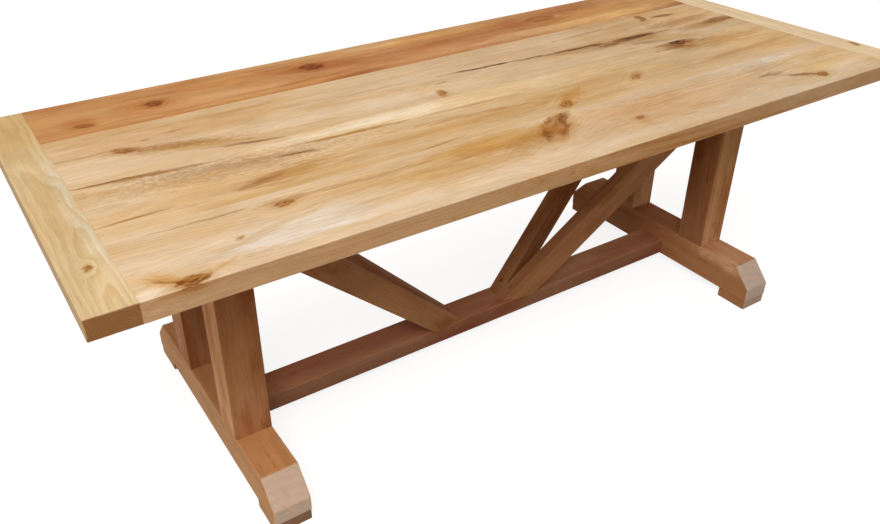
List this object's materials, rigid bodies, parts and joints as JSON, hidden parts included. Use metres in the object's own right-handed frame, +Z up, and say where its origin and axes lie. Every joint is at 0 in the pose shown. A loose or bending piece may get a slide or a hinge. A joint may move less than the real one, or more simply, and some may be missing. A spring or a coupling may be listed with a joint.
{
  "type": "trestle dining table",
  "caption": "Solid wood trestle dining table with breadboard ends, sledge-foot trestles, a low flat stretcher and splayed braces.",
  "frame": {"origin": "on the floor under the middle of the table", "axes": "+X along the top's length, +Y across it towards the back, +Z up"},
  "size_m": [2.24, 0.95, 0.76],
  "materials": {
    "top_board_wood": "oiled, satin",
    "breadboard_wood": "oiled, satin",
    "peg_wood": "bare",
    "base_wood": "oiled, satin",
    "zinc_steel": "zinc plated"
  },
  "bodies": {
    "root": {"top_board_1": "top_board_wood", "top_board_2": "top_board_wood", "top_board_3": "top_board_wood", "top_board_4": "top_board_wood", "breadboard_end_left": "breadboard_wood", "breadboard_end_right": "breadboard_wood", "breadboard_pegs": "peg_wood", "stretcher_pegs": "peg_wood", "foot_wedges": "peg_wood", "bearer_wedges": "peg_wood", "foot_left": "base_wood", "bearer_left": "base_wood", "post_left_front": "base_wood", "pad_left_front": "base_wood", "brace_left_front": "base_wood", "post_left_back": "base_wood", "pad_left_back": "base_wood", "brace_left_back": "base_wood", "foot_right": "base_wood", "bearer_right": "base_wood", "post_right_front": "base_wood", "pad_right_front": "base_wood", "brace_right_front": "base_wood", "post_right_back": "base_wood", "pad_right_back": "base_wood", "brace_right_back": "base_wood", "stretcher": "base_wood", "top_fixing_screws": "zinc_steel", "brace_foot_screws": "zinc_steel"}
  },
  "joints": []
}
